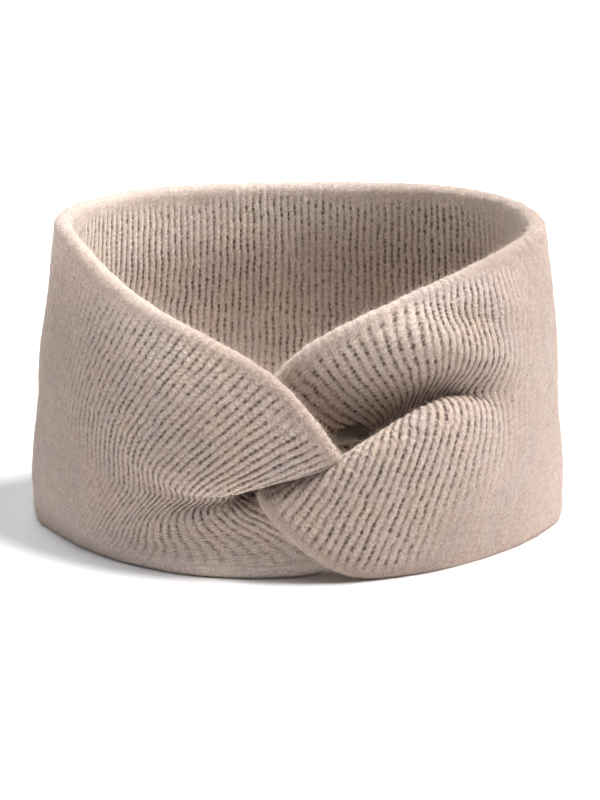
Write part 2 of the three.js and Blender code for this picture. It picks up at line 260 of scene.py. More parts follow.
def arm_section(row):
    """A section of an arm from its table row."""
    named = dict(zip(ARM_COLUMNS, row))
    for edge in ("top", "fold", "bottom"):
        named[edge] = place(named[edge])
    return section(**named)


def seam_section(row, side):
    """A section at the seam, with side -1 for the left end and 1 for the right one, turned half round."""
    lobe = on_seam(-side * row["lobe"][0], -side * 0.5, row["lobe"][1])
    flap = on_seam(-side * row["flap"][0], side * 1.5, row["flap"][1])
    return section(
        top=lobe if side < 0 else flap,
        fold=on_seam(-side * row["base"][0], side * 0.5, row["base"][1]),
        bottom=flap if side < 0 else lobe,
        turn=0 if side < 0 else 180,
        lean=SEAM["lean"],
        lips=(0.86, 0.86),
        spread=(0, 0),
        gape=2 * SEAM["layer"] / WALL,
        crown=(0, 0),
    )


def loop_section(degrees):
    """A section of the loop behind the arms, at an angle round from +X."""
    c = math.cos(math.radians(degrees))
    s = math.sin(math.radians(degrees))
    side = LOOP["left"] if c < 0 else LOOP["right"]

    def reach(level, z):
        wide = abs(c / (side[level] * HALF_WIDTH)) ** side["corner"]
        deep = abs(s / (LOOP["back"][level] * FRONT)) ** side["corner"]
        radius = (wide + deep) ** (-1 / side["corner"])
        return np.array([radius * c, radius * s, z])

    drop = side["drop"] * min(max(1 - s / DROP_END, 0), 1)
    return section(
        top=reach("top", (TOP_EDGE - drop) * HEIGHT),
        fold=reach("middle", HEIGHT / 2),
        bottom=reach("bottom", REST),
        turn=-degrees,
        lean=0,
        lips=side["bulge"],
        spread=(UNFOLDED, UNFOLDED),
        gape=UNFOLDED,
        crown=(0, 0.15),
    )


def guide_net():
    """All sections from the left end round the loop to the right end, as an array of guide points."""
    rows = [seam_section(row, -1) for row in SEAM_ROWS]
    rows += [arm_section(row) for row in LEFT_ARM]
    rows += [loop_section(angle) for angle in LOOP_ANGLES]
    rows += [arm_section(row) for row in reversed(RIGHT_ARM)]
    rows += [seam_section(row, 1) for row in reversed(SEAM_ROWS)]
    return np.array(rows)


NET = guide_net()
LAST_ROW = len(NET) - 1
LAST_COLUMN = NET.shape[1] - 1


def spline_weights(at, count):
    """The weight of each of count guide points at places of a cubic spline that starts and ends on them."""
    at = np.asarray(at, float)
    start = np.minimum(np.floor(at), count - 2).astype(int)
    t = at - start
    parts = ((1 - t) ** 3, 3 * t**3 - 6 * t**2 + 4, -3 * t**3 + 3 * t**2 + 3 * t + 1, t**3)
    weights = np.zeros(at.shape + (count + 2,))
    for k, part in enumerate(parts):
        np.put_along_axis(weights, (start + k)[..., None], part[..., None] / 6, axis=-1)
    inner = weights[..., 1:-1].copy()
    for end, following, beyond in ((0, 1, 0), (-1, -2, -1)):
        inner[..., end] += 2 * weights[..., beyond]
        inner[..., following] -= weights[..., beyond]
    return inner


def dented(points):
    """The points with the soft dents and ridges of the right arm."""
    moved = points.copy()
    for dent in DENTS:
        offset = points - place(dent["at"])
        tilt = math.radians(dent["tilt"])
        way = math.radians(dent["way"])
        level = offset[..., 0] * math.sin(way) - offset[..., 1] * math.cos(way)
        through = (offset[..., 0] * math.cos(way) + offset[..., 1] * math.sin(way)) / (3 * WALL)
        along = (level * math.cos(tilt) + offset[..., 2] * math.sin(tilt)) / (dent["half"][0] * WALL)
        across = (offset[..., 2] * math.cos(tilt) - level * math.sin(tilt)) / (dent["half"][1] * WALL)
        push = dent["depth"] * WALL * np.exp(-(along**2) - across**2 - through**2)
        moved[..., 0] += push * math.cos(way)
        moved[..., 1] += push * math.sin(way)
    return moved


def middle(rows, columns):
    """Points of the strip's middle surface, where columns holds the places across the strip for each row."""
    along = np.tensordot(spline_weights(rows, LAST_ROW + 1), NET, axes=1)
    return dented(np.einsum("ijk,ikc->ijc", spline_weights(columns, LAST_COLUMN + 1), along))


def slanted_middle(rows, columns):
    """The same for wales that slant, so that each place has a row of its own."""
    points = np.empty(columns.shape + (3,))
    places = slanted(rows, columns)
    for j in range(columns.shape[1]):
        along = np.tensordot(spline_weights(places[:, j], LAST_ROW + 1), NET, axes=1)
        points[:, j] = np.einsum("ik,ikc->ic", spline_weights(columns[:, j], LAST_COLUMN + 1), along)
    return dented(points), places


def run_length(points, axis):
    """The length run along an axis of a grid of points, from 0."""
    steps = np.linalg.norm(np.diff(points, axis=axis), axis=-1)
    shape = list(steps.shape)
    shape[axis] = 1
    return np.concatenate([np.zeros(shape), np.cumsum(steps, axis=axis)], axis=axis)


def wale_rows(count):
    """Places along the strip, evenly spaced in real length apart from CLOSENESS, over its whole width."""
    fine = np.linspace(0, LAST_ROW, TRIALS["along"] * LAST_ROW + 1)
    across = np.linspace(0, LAST_COLUMN, TRIALS["across"])
    columns = np.broadcast_to(across, (len(fine), len(across)))
    steps = np.diff(run_length(middle(fine, columns), 0).mean(axis=1), prepend=0)
    close = np.interp(fine, CLOSENESS["rows"], CLOSENESS["shares"])
    run = np.cumsum(steps * close)
    return np.interp(np.linspace(0, run[-1], count), run, fine)


def even_columns(rows, intervals):
    """Places across the strip at each row that are evenly spaced in real length."""
    fine = np.linspace(0, LAST_COLUMN, TRIALS["columns"])
    run = run_length(middle(rows, np.broadcast_to(fine, (len(rows), len(fine)))), 1)
    shares = np.linspace(0, 1, intervals + 1)
    return np.array([np.interp(shares * r[-1], r, fine) for r in run])


def slanted(rows, columns):
    """Rows for each place of a grid, so that the hidden flaps' wales run as the twist has pulled them."""
    fold = LAST_COLUMN / 2
    shift = np.zeros(columns.shape)
    ends = (("left", 1, rows, columns - fold), ("right", -1, LAST_ROW - rows, fold - columns))
    for side, way, from_end, off_fold in ends:
        strength = np.interp(from_end, SLANT[side]["rows"], (0, 1, 1, 0))[:, None]
        shift += way * SLANT[side]["shift"] * strength * np.clip(off_fold / fold, 0, 1)
    return rows[:, None] + shift


def unit(vectors):
    """The vectors at length one."""
    return vectors / np.maximum(np.linalg.norm(vectors, axis=-1, keepdims=True), 1e-12)


def face(rows, intervals):
    """Middle points, outward normals, directions across the strip and half the thickness on an even grid."""
    points, places = slanted_middle(rows, even_columns(rows, intervals))
    along = unit(np.gradient(points, axis=0))
    normals = unit(np.cross(along, np.gradient(points, axis=1)))
    return points, normals, np.cross(normals, along), half_wall(places)


def half_wall(rows):
    """Half the strip's thickness at each row."""
    inwards = np.clip((np.minimum(rows, LAST_ROW - rows) - 1) / (TWIST_ROWS - 1), 0, 1)
    eased = inwards**2 * (3 - 2 * inwards)
    return (TWIST_WALL + (WALL - TWIST_WALL) * eased) / 2


# Relief of the knit


def soft_noise(x, y, seed):
    """Smooth noise from 0 to 1, one value to a cell."""
    size = 128
    table = np.random.default_rng(seed).random((size, size))
    i = np.floor(x).astype(int)
    j = np.floor(y).astype(int)
    s = x - i
    t = y - j
    s = s * s * (3 - 2 * s)
    t = t * t * (3 - 2 * t)

    def cell(a, b):
        return table[a % size, b % size]

    near = cell(i, j) * (1 - s) + cell(i + 1, j) * s
    far = cell(i, j + 1) * (1 - s) + cell(i + 1, j + 1) * s
    return near * (1 - t) + far * t


def on_rim(row, width):
    """1 on the round top and bottom edges, falling to 0 at width rows from them."""
    from_top = np.minimum(row, 2 * FACE_ROWS + EDGE_ROWS - row)
    from_bottom = np.maximum(FACE_ROWS - row, row - FACE_ROWS - EDGE_ROWS)
    return 1 - np.clip(np.minimum(from_top, from_bottom) / width, 0, 1)


def patches(name, wale, row):
    """Smooth unevenness about 0, from its entry in PATCHES."""
    patch = PATCHES[name]
    cells = patch["cells"]
    return patch["amount"] * (soft_noise(wale * cells[0], row * cells[1], SEED + patch["seed"]) - 0.5)


def felting(wale, row):
    """How far the stitches are felted over, from 0 to 1: least beside the twist, most at the sides."""
    share = wale / WALES
    from_bottom = np.maximum(FACE_ROWS - row, row - FACE_ROWS - EDGE_ROWS)
    low = np.clip(LOW_FELT["end"] - from_bottom / LOW_FELT["rows"], 0, 1)
    level = np.interp(share, FELTING["places"], FELTING["levels"])
    level = level + low * np.interp(share, LOW_FELT["places"], LOW_FELT["levels"])
    rims = FELTING["rims"] * on_rim(row, FELTING["rim_rows"])
    return np.clip(level + patches("felting", wale, row) + rims, *FELTING["range"])


def bloom(wale, row):
    """Painted light, from 0 to 1: how much paler the wool is painted, most on the inner face and the rims away
    from the lobes.
    """
    share = wale / WALES
    inside = np.clip(np.minimum(row - FACE_ROWS, ROWS_ROUND - row) / EDGE_ROWS, 0, 1)
    upper = np.abs(row - FACE_ROWS - EDGE_ROWS / 2) > (FACE_ROWS + EDGE_ROWS) / 2
    on_top = on_rim(row, PAINTED_LIGHT["top_rows"]) * np.interp(share, PAINTED_LIGHT["places"], PAINTED_LIGHT["top"])
    below = on_rim(row, PAINTED_LIGHT["bottom_rows"]) * np.interp(share, PAINTED_LIGHT["places"], PAINTED_LIGHT["bottom"])
    return np.clip(PAINTED_LIGHT["inside"] * inside + np.where(upper, on_top, below), 0, 1)


def stitch_relief(wale, row, felted, notch):
    """Height of the stitches from 0 to 1: a rounded ridge a wale, notched where one stitch meets the next."""
    side = wale % 1 - 0.5
    ridge = np.cos(np.pi * side) ** STITCH["fullness"]
    stitch = 0.5 - 0.5 * np.cos(2 * np.pi * (row + STITCH["lag"] * np.abs(side)))
    crisp = ridge * (1 - notch * STITCH["notch"] * stitch) + patches("stitches", wale, row) * ridge
    blurred = STITCH["felted"] + patches("felt", wale, row)
    return crisp * (1 - felted) + blurred * felted


def knit_rings(ridge):
    """The strip's closed outlines: points, outward ways, wale and row numbers, felting and painted light."""
    rows = wale_rows(WALES * SAMPLES["wale"] + 1)
    outer, outer_way, outer_across, outer_half = face(rows, SAMPLES["outer"])
    inner, inner_way, _, inner_half = face(rows, SAMPLES["inner"])
    angles = np.pi * np.arange(1, SAMPLES["edge"]) / SAMPLES["edge"]
    turn = np.stack([np.cos(angles), np.sin(angles)], axis=1)[None, :, :, None]

    def edge(column, sign):
        out = turn[:, :, 0] * outer_way[:, column, None]
        on = turn[:, :, 1] * outer_across[:, column, None]
        return np.repeat(outer[:, column, None], len(angles), axis=1), sign * (out + on)

    bottom, bottom_way = edge(-1, 1)
    top, top_way = edge(0, -1)
    core = np.concatenate([outer, bottom, inner[:, ::-1], top], axis=1)
    bottom_half = np.repeat(outer_half[:, -1:], len(angles), axis=1)
    top_half = np.repeat(outer_half[:, :1], len(angles), axis=1)
    half = np.concatenate([outer_half, bottom_half, inner_half[:, ::-1], top_half], axis=1)
    way = unit(np.concatenate([outer_way, bottom_way, -inner_way[:, ::-1], top_way], axis=1))
    row_of = np.concatenate(
        [
            np.linspace(0, FACE_ROWS, SAMPLES["outer"] + 1),
            FACE_ROWS + EDGE_ROWS * angles / np.pi,
            np.linspace(FACE_ROWS + EDGE_ROWS, 2 * FACE_ROWS + EDGE_ROWS, SAMPLES["inner"] + 1),
            2 * FACE_ROWS + EDGE_ROWS + EDGE_ROWS * angles / np.pi,
        ]
    )
    wale, row = np.meshgrid(np.arange(len(rows)) / SAMPLES["wale"], row_of, indexing="ij")
    felted = felting(wale, row)
    # Painted light on the inner face and the rims
    pale = bloom(wale, row)
    wale = wale + patches("drift", wale, row)
    lift = ridge * (stitch_relief(wale, row, felted, row < FACE_ROWS) - STITCH["level"])
    points = core + way * (half + lift)[..., None]
    points[..., 2] = np.maximum(points[..., 2], 0)
    points = points + CENTRING
    return {"points": points, "way": way, "wale": wale, "row": row, "felting": felted, "bloom": pale}


# Meshes


def grid_faces(rings, size):
    """Quads that join each closed ring of size points to the next one."""
    first = np.arange(rings - 1)[:, None] * size
    here = np.arange(size)[None, :]
    after = (here + 1) % size
    quads = [first + here, first + size + here, first + size + after, first + after]
    return np.stack(quads, axis=-1).reshape(-1, 4)


def end_cover(size, base, flip):
    """Triangles over a cut end: they zip the outer face to the inner one and fan the round edges."""
    outer_last = SAMPLES["outer"]
    inner_first = outer_last + SAMPLES["edge"]
    inner_last = inner_first + SAMPLES["inner"]
    inner = list(range(inner_last, inner_first - 1, -1))
    faces = []
    a = 0
    b = 0
    while a < outer_last or b < len(inner) - 1:
        if b == len(inner) - 1 or (a < outer_last and (a + 1) / outer_last <= (b + 1) / (len(inner) - 1)):
            faces.append((a, a + 1, inner[b]))
            a += 1
        else:
            faces.append((a, inner[b + 1], inner[b]))
            b += 1
    faces += [(outer_last, k, k + 1) for k in range(outer_last + 1, inner_first)]
    faces += [(inner_last, k, (k + 1) % size) for k in range(inner_last + 1, size)]
    faces = [tuple(base + k for k in corners) for corners in faces]
    return [corners[::-1] for corners in faces] if flip else faces


def corners_of(faces):
    """The vertex numbers of all corners of the faces, in order."""
    return np.concatenate([np.array(face) for face in faces])


def new_piece(name, vertices, faces, material, uv=None):
    """A smooth mesh object in the scene, with corner coordinates in knit units where they are given."""
    mesh = bpy.data.meshes.new(name)
    mesh.from_pydata(np.asarray(vertices).tolist(), [], faces)
    if uv is not None:
        layer = mesh.uv_layers.new(name="Knit")
        layer.data.foreach_set("uv", np.asarray(uv, np.float32).ravel())
    mesh.shade_smooth()
    mesh.materials.append(material)
    mesh.update()
    piece = bpy.data.objects.new(name, mesh)
    bpy.context.scene.collection.objects.link(piece)
    return piece


def knit_piece(name, rings, first, last, cover, material):
    """One length of the knitted strip, from sample first to sample last, with its cut end covered."""
    part = {key: values[first : last + 1] for key, values in rings.items()}
    count, size = part["wale"].shape
    quads = grid_faces(count, size)
    row = part["row"].ravel()[quads]
    row[row[:, 0] > row[:, 2], 2:] = ROWS_ROUND
    uv = np.stack([part["wale"].ravel()[quads], row], axis=-1).reshape(-1, 2)
    base, flip = (0, False) if cover == "first" else ((count - 1) * size, True)
    lid = end_cover(size, base, flip)
    lid_points = corners_of(lid)
    lid_uv = np.stack([part["wale"].ravel()[lid_points], part["row"].ravel()[lid_points]], axis=-1)
    piece = new_piece(
        name,
        part["points"].reshape(-1, 3),
        quads.tolist() + lid,
        material,
        np.concatenate([uv, lid_uv]),
    )
    for key in ("felting", "bloom"):
        layer = piece.data.attributes.new(key, "FLOAT", "POINT")
        layer.data.foreach_set("value", part[key].ravel().astype(np.float32))
    return piece


# Fuzz


# Layers of fibres: how many, length and width as shares of the settings, rise off the knit in degrees, parts
# in a fibre, and how many times denser they are on the rims
FUZZ = {
    "fuzz_close": {"share": 1.0, "length": 1.0, "width": 1.0, "rise": 14, "parts": 2, "rims": 0.5},
    "fuzz_soft": {"share": 1.0, "length": 0.6, "width": 0.7, "rise": 34, "parts": 2, "rims": 1.5},
    "fuzz_halo": {"share": 0.63, "length": 1.15, "width": 0.5, "rise": 48, "parts": 3, "rims": 5.0},
}
# A fibre: degrees between which it rises, how far it bends aside and down, how deep its root is, how much it
# tapers, how its width varies, and its least height over the surface
FIBRE = {
    "rise": (2, 85), "aside": 0.5, "down": 0.4, "root": 0.00012,
    "taper": 0.6, "widths": (0.7, 1.3), "clear": 0.0001,
}
# How much paler a fibre is where light is painted on the knit, and how much darker on felted wool
FIBRE_TONE = {"bloom": 0.6, "felting": 0.5}


def fibre_roots(rings, count, rims, rng):
    """Random places on the knit, denser on the rims, with their directions and how pale each one is, painted
    light included.
    """
    points = rings["points"]
    corner = points[:-1]
    ahead = points[1:] - corner
    beside = np.roll(points, -1, axis=1)[:-1] - corner
    area = np.linalg.norm(np.cross(ahead, beside), axis=-1)
    area = (area * (1 + rims * on_rim(rings["row"][:-1], FELTING["rim_rows"]))).ravel()
    i, j = np.divmod(rng.choice(area.size, size=count, p=area / area.sum()), points.shape[1])
    s, t = rng.random((2, count, 1))
    root = corner[i, j] + ahead[i, j] * s + beside[i, j] * t
    pale = FIBRE_TONE["bloom"] * rings["bloom"][i, j] - FIBRE_TONE["felting"] * rings["felting"][i, j]
    return root, unit(ahead[i, j]), unit(beside[i, j]), unit(rings["way"][i, j]), pale


def fibre_mesh(rings, count, length, width, layer, seed):
    """Fine bent fibres that taper to a tip: vertices, faces and coordinates (a shade, the place along it)."""
    rng = np.random.default_rng(seed)
    root, along, across, out, pale = fibre_roots(rings, count, layer["rims"], rng)
    turn = rng.uniform(0, 2 * np.pi, (count, 1))
    lift = np.radians(rng.gamma(2.0, layer["rise"] / 2, (count, 1)).clip(*FIBRE["rise"]))
    flat = along * np.cos(turn) + across * np.sin(turn)
    heading = flat * np.cos(lift) + out * np.sin(lift)
    aside = unit(np.cross(heading, out))
    bend = aside * rng.normal(0, FIBRE["aside"], (count, 1))
    bend = bend - out * rng.uniform(0, FIBRE["down"], (count, 1)) * np.sin(lift)
    reach = length * rng.gamma(4.0, 0.25, (count, 1))
    parts = layer["parts"]
    places = np.linspace(0, 1, parts + 1)
    t = places[None, :, None]
    line = (root - out * FIBRE["root"])[:, None]
    line = line + reach[:, None] * (t * heading[:, None] + t**2 * bend[:, None])
    roll = unit(np.cross(heading, rng.normal(0, 1, (count, 3))))[:, None] * width / 2
    roll = roll * (1 - FIBRE["taper"] * t[:, :-1]) * rng.uniform(*FIBRE["widths"], (count, 1, 1))
    sides = np.stack([line[:, :-1] - roll, line[:, :-1] + roll], axis=2).reshape(count, -1, 3)
    points = np.concatenate([sides, line[:, -1:]], axis=1)
    points[..., 2] = np.maximum(points[..., 2], FIBRE["clear"])
    corners = [(2 * k, 2 * k + 1, 2 * k + 3, 2 * k + 2) for k in range(parts - 1)]
    corners.append((2 * parts - 2, 2 * parts - 1, 2 * parts))
    place_of = np.append(np.repeat(places[:-1], 2), 1.0)
    base = points.shape[1] * np.arange(count)[:, None]
    # A fibre's own random shade, paler with the knit's painted light and darker on felted wool
    shade = rng.random(count) + pale
    faces = []
    uv = []
    for face in corners:
        faces += (base + np.array(face)[None, :]).tolist()
        along_it = np.tile(place_of[list(face)], count)
        uv.append(np.stack([np.repeat(shade, len(face)), along_it], axis=-1))
    return points.reshape(-1, 3), faces, np.concatenate(uv)


# Materials


def add(tree, kind, inputs=None, **settings):
    """A new node with its settings, and its inputs set to values or joined to sockets."""
    node = tree.nodes.new(kind)
    for name, value in settings.items():
        setattr(node, name, value)
    for key, value in (inputs or {}).items():
        if isinstance(value, bpy.types.NodeSocket):
            tree.links.new(value, node.inputs[key])
        else:
            node.inputs[key].default_value = value
    node.location = (190 * len(tree.nodes), 0)
    return node


def calc(tree, operation, *values):
    """The output of a Math node."""
    return add(tree, "ShaderNodeMath", dict(enumerate(values)), operation=operation).outputs[0]


def blend(tree, share, first, second, mode="MIX"):
    """The colour output of a Mix node between two colours."""
    node = add(tree, "ShaderNodeMix", {0: share, 6: first, 7: second}, data_type="RGBA", blend_type=mode)
    return node.outputs[2]


def ramp(tree, value, low, high):
    """A smooth step from 0 at low to 1 at high; high may be the smaller one."""
    node = add(
        tree,
        "ShaderNodeMapRange",
        {"Value": value, "From Min": low, "From Max": high},
        interpolation_type="SMOOTHSTEP",
    )
    return node.outputs["Result"]


def noise(tree, vector, scale, detail=2.0, roughness=0.5):
    """The value of a Noise Texture."""
    inputs = {"Vector": vector, "Scale": scale, "Detail": detail, "Roughness": roughness}
    return add(tree, "ShaderNodeTexNoise", inputs).outputs[0]


def new_group(name, inputs, outputs):
    """An empty shader node group with float inputs and outputs, and its two end nodes."""
    group = bpy.data.node_groups.new(name, "ShaderNodeTree")
    for socket in inputs:
        group.interface.new_socket(name=socket, in_out="INPUT", socket_type="NodeSocketFloat")
    for socket in outputs:
        group.interface.new_socket(name=socket, in_out="OUTPUT", socket_type="NodeSocketFloat")
    return group, add(group, "NodeGroupInput"), add(group, "NodeGroupOutput")


# Gaps beside the wales, painted dark as shade and lowered in the bump: along the wale where a gap ends and is
# full, which of them are deep, how ragged they are and by what noise, across the wale where one starts and is
# full, how deep the least one is, and where the knit is crisp
GAPS = {
    "dash": (0.5, 0.28), "deep": (0.1, 0.85), "ragged": 0.56, "noise": (2.6, 2.0, 0.6),
    "across": (0.22, 0.46), "least": 0.28, "crisp": (0.12, 0.7),
}
# Heights of the ridge, the stitch, the gap and the strands, how narrow a strand is and its noise, and across
# the wale where the painted highlight on its crest starts and is full, with the least share of it between
# stitches
BUMPS = {
    "ridge": 0.5, "stitch": 0.35, "gap": 0.8, "strand": 0.5, "narrow": 3.4, "noise": (1.7, 3.0, 0.7),
    "crest_highlight": (0.36, 0.12), "least": 0.3,
}


def stitch_group():
    """Shader group of the stitches: their height, the gaps beside the wales with a mask for their painted
    shade, the yarn, and the painted highlight on the crests.
    """
    outputs = ("Height", "Gap", "Strand", "Crest")
    group, given, result = new_group("Stitches", ("Felting",), outputs)

    def do(operation, *values):
        return calc(group, operation, *values)

    def scatter(dimensions, **inputs):
        return add(group, "ShaderNodeTexWhiteNoise", inputs, noise_dimensions=dimensions).outputs[0]

    knit = add(group, "ShaderNodeUVMap", uv_map="Knit").outputs[0]
    wale, row, _ = add(group, "ShaderNodeSeparateXYZ", {0: knit}).outputs
    crisp = do("SUBTRACT", 1.0, given.outputs["Felting"])
    side = do("ABSOLUTE", do("SUBTRACT", do("FRACT", wale), 0.5))
    ridge = do("POWER", do("COSINE", do("MULTIPLY", side, math.pi)), STITCH["fullness"])
    slant = do("ADD", row, do("MULTIPLY", side, STITCH["lag"]))
    leg = do("MULTIPLY_ADD", do("COSINE", do("MULTIPLY", slant, 2 * math.pi)), 0.5, 0.5)

    seam_number = do("ROUND", wale)
    place_in_gap = do("ADD", row, scatter("1D", W=seam_number))
    gap_cell = add(group, "ShaderNodeCombineXYZ", {0: seam_number, 1: do("FLOOR", place_in_gap)})
    along_gap = do("ABSOLUTE", do("SUBTRACT", do("FRACT", place_in_gap), 0.5))
    own_depth = ramp(group, scatter("2D", Vector=gap_cell.outputs[0]), *GAPS["deep"])
    deep = do("MULTIPLY", ramp(group, along_gap, *GAPS["dash"]), own_depth)
    ragged = noise(group, knit, *GAPS["noise"])
    ragged = do("MULTIPLY_ADD", ragged, GAPS["ragged"], -GAPS["ragged"] / 2)
    valley = ramp(group, do("ADD", side, ragged), *GAPS["across"])
    gap = do("MULTIPLY", valley, do("MULTIPLY_ADD", deep, 1 - GAPS["least"], GAPS["least"]))
    gap = do("MULTIPLY", gap, ramp(group, crisp, *GAPS["crisp"]))

    beside = do("MULTIPLY", side, BUMPS["narrow"])
    turned = add(group, "ShaderNodeCombineXYZ", {0: beside, 1: slant, 2: seam_number})
    strand = noise(group, turned.outputs[0], *BUMPS["noise"])
    bumps = do("ADD", do("MULTIPLY", ridge, BUMPS["ridge"]), do("MULTIPLY", leg, BUMPS["stitch"]))
    bumps = do("SUBTRACT", bumps, do("MULTIPLY", gap, BUMPS["gap"]))
    height = do("MULTIPLY_ADD", bumps, crisp, do("MULTIPLY", strand, BUMPS["strand"]))
    lump = do("MULTIPLY_ADD", leg, 1 - BUMPS["least"], BUMPS["least"])
    # Painted highlight on the crest of each wale, less between stitches
    crest_highlight = do("MULTIPLY", do("MULTIPLY", ramp(group, side, *BUMPS["crest_highlight"]), crisp), lump)
    for name, socket in zip(outputs, (height, gap, strand, crest_highlight)):
        group.links.new(socket, result.inputs[name])
    return group


# Scale, detail and roughness of the wool's noises, as of all noises here
WOOL = {"Fibre": (2400.0, 4.0, 0.75), "Fleck": (1000.0, 3.0, 0.6), "Tone": (70.0, 3.0, 0.6)}


def melange_group():
    """Shader group of the spun wool: fine fibres, flecks and slow changes of tone, in the object's space."""
    group, given, result = new_group("Spun wool", ("Scale",), tuple(WOOL))
    here = add(group, "ShaderNodeTexCoord").outputs["Object"]
    inputs = {0: here, "Scale": given.outputs["Scale"]}
    sized = add(group, "ShaderNodeVectorMath", inputs, operation="SCALE").outputs[0]
    for name, measures in WOOL.items():
        group.links.new(noise(group, sized, *measures), result.inputs[name])
    return group


def new_material(name):
    """A material with only a Principled shader, its tree and that shader."""
    material = bpy.data.materials.new(name)
    material.use_nodes = True
    return material, material.node_tree, material.node_tree.nodes["Principled BSDF"]


def soft_wool(shader, sheen):
    """Sets the shader's own values for dull wool with a sheen of fine fibres."""
    shader.inputs["Roughness"].default_value = 0.95
    shader.inputs["Specular IOR Level"].default_value = 0.15
    shader.inputs["Sheen Weight"].default_value = sheen
    shader.inputs["Sheen Roughness"].default_value = 0.55
    shader.inputs["Sheen Tint"].default_value = (1.0, 0.93, 0.86, 1.0)


def knit_material(colours, groups):
    """Felted wool knit: taupe wool with a painted highlight on the wales' crests and painted shade in the gaps
    beside the wales where it is crisp.
    """
    material, tree, shader = new_material("felted_knit")
    soft_wool(shader, 0.35)
    felted = add(tree, "ShaderNodeAttribute", attribute_name="felting").outputs["Fac"]
    stitches = add(tree, "ShaderNodeGroup", node_tree=groups["stitches"])
    tree.links.new(felted, stitches.inputs["Felting"])
    wool = add(tree, "ShaderNodeGroup", node_tree=groups["melange"])
    wool.inputs["Scale"].default_value = 1.0
    fine = calc(tree, "MULTIPLY", wool.outputs["Fibre"], 0.4)
    mix = calc(tree, "MULTIPLY_ADD", stitches.outputs["Strand"], 0.6, fine)
    colour = blend(tree, ramp(tree, mix, 0.4, 0.56), colours.shade, colours.body)
    pale = calc(tree, "MULTIPLY", ramp(tree, wool.outputs["Fleck"], 0.5, 0.75), 0.75)
    colour = blend(tree, pale, colour, colours.light)
    crown = calc(tree, "MULTIPLY", ramp(tree, mix, 0.5, 0.64), 0.7)
    colour = blend(tree, crown, colour, colours.light)
    # Painted highlight on the crests of the wales
    colour = blend(tree, calc(tree, "MULTIPLY", stitches.outputs["Crest"], 0.4), colour, colours.light)
    tone = ramp(tree, wool.outputs["Tone"], 0.3, 0.7)
    colour = blend(tree, 0.3, colour, blend(tree, tone, colours.cool, colours.warm))
    colour = blend(tree, calc(tree, "MULTIPLY", felted, 0.58), colour, colours.shade)
    # Painted light: the inner face and the rims are lifted paler, standing in for light there
    painted_light_lift = add(tree, "ShaderNodeAttribute", attribute_name="bloom").outputs["Fac"]
    colour = blend(tree, painted_light_lift, colour, colours.painted_light_lift, "DODGE")
    # Painted shade: the gaps beside the wales are painted dark
    colour = blend(tree, calc(tree, "MULTIPLY", stitches.outputs["Gap"], 0.88), colour, colours.gap)
    tree.links.new(colour, shader.inputs["Base Color"])
    height = calc(tree, "MULTIPLY_ADD", wool.outputs["Fibre"], 0.45, stitches.outputs["Height"])
    bump = add(tree, "ShaderNodeBump", {"Strength": 0.9, "Distance": 0.0006, "Height": height})
    tree.links.new(bump.outputs[0], shader.inputs["Normal"])
    return material


def fuzz_material(colours):
    """Loose wool fibres, each with a shade of its own plus the knit's painted light, lighter towards the tip.
    """
    material, tree, shader = new_material("loose_wool_fibre")
    soft_wool(shader, 0.2)
    knit = add(tree, "ShaderNodeUVMap", uv_map="Knit").outputs[0]
    shade, along, _ = add(tree, "ShaderNodeSeparateXYZ", {0: knit}).outputs
    colour = blend(tree, ramp(tree, shade, 0.05, 0.75), colours.body, colours.light)
    colour = blend(tree, calc(tree, "MULTIPLY", along, 0.25), colour, colours.light)
    tree.links.new(colour, shader.inputs["Base Color"])
    return material


def yarn_material(colours, groups):
    """Plain two-ply sewing yarn and the matted wool of the seam."""
    material, tree, shader = new_material("seam_wool")
    soft_wool(shader, 0.25)
    wool = add(tree, "ShaderNodeGroup", node_tree=groups["melange"])
    wool.inputs["Scale"].default_value = 0.8
    knit = add(tree, "ShaderNodeUVMap", uv_map="Knit").outputs[0]
    along, around, _ = add(tree, "ShaderNodeSeparateXYZ", {0: knit}).outputs
    twist = calc(tree, "MULTIPLY", calc(tree, "ADD", along, around), 2 * math.pi)
    ply = calc(tree, "MULTIPLY_ADD", calc(tree, "COSINE", twist), 0.5, 0.5)
    colour = blend(tree, ramp(tree, wool.outputs["Fibre"], 0.35, 0.65), colours.shade, colours.body)
    # Painted shade in the grooves between the yarn's plies
    colour = blend(tree, ramp(tree, ply, 0.35, 0.0), colour, colours.gap)
    tree.links.new(colour, shader.inputs["Base Color"])
    height = calc(tree, "MULTIPLY_ADD", wool.outputs["Fibre"], 0.4, ply)
    bump = add(tree, "ShaderNodeBump", {"Strength": 0.8, "Distance": 0.0004, "Height": height})
    tree.links.new(bump.outputs[0], shader.inputs["Normal"])
    return material


def floor_material(colours):
    """A plain pale surface with the faintest mottling."""
    material, tree, shader = new_material("pale_surface")
    shader.inputs["Roughness"].default_value = 0.9
    shader.inputs["Specular IOR Level"].default_value = 0.0
    here = add(tree, "ShaderNodeTexCoord").outputs["Object"]
    off_white = [0.985 * c for c in colours.surface[:3]] + [1.0]
    mottled = blend(tree, noise(tree, here, 3.0), off_white, colours.surface)
    tree.links.new(mottled, shader.inputs["Base Color"])
    return material


# Seam behind the twist


# The pad: points round and along it, how square its sections and its ends are, its length in shares of the
# seam's, how deep and how sharp the yarn's pinch is, and the size of a cell of its wool
PAD = {
    "around": 48, "along": 72, "square": 3.4, "end": 4.0,
    "long": 1.25, "pinch": 0.1, "sharpness": 8, "grain": 0.003,
}
# The yarn: stitches, radius, sides and points of a stitch, how far round the pad it goes in shares of half a
# turn, how far apart the stitches are spread, where each takes its size and how far it slants, in shares of
# the pad's half length, and turns of its ply from one point to the next
SEWING = {
    "stitches": 13, "yarn": 0.0008, "sides": 8, "points": 14,
    "round": 0.62, "spread": 0.9, "size": 0.95, "slant": 0.06, "ply": 0.45,
}


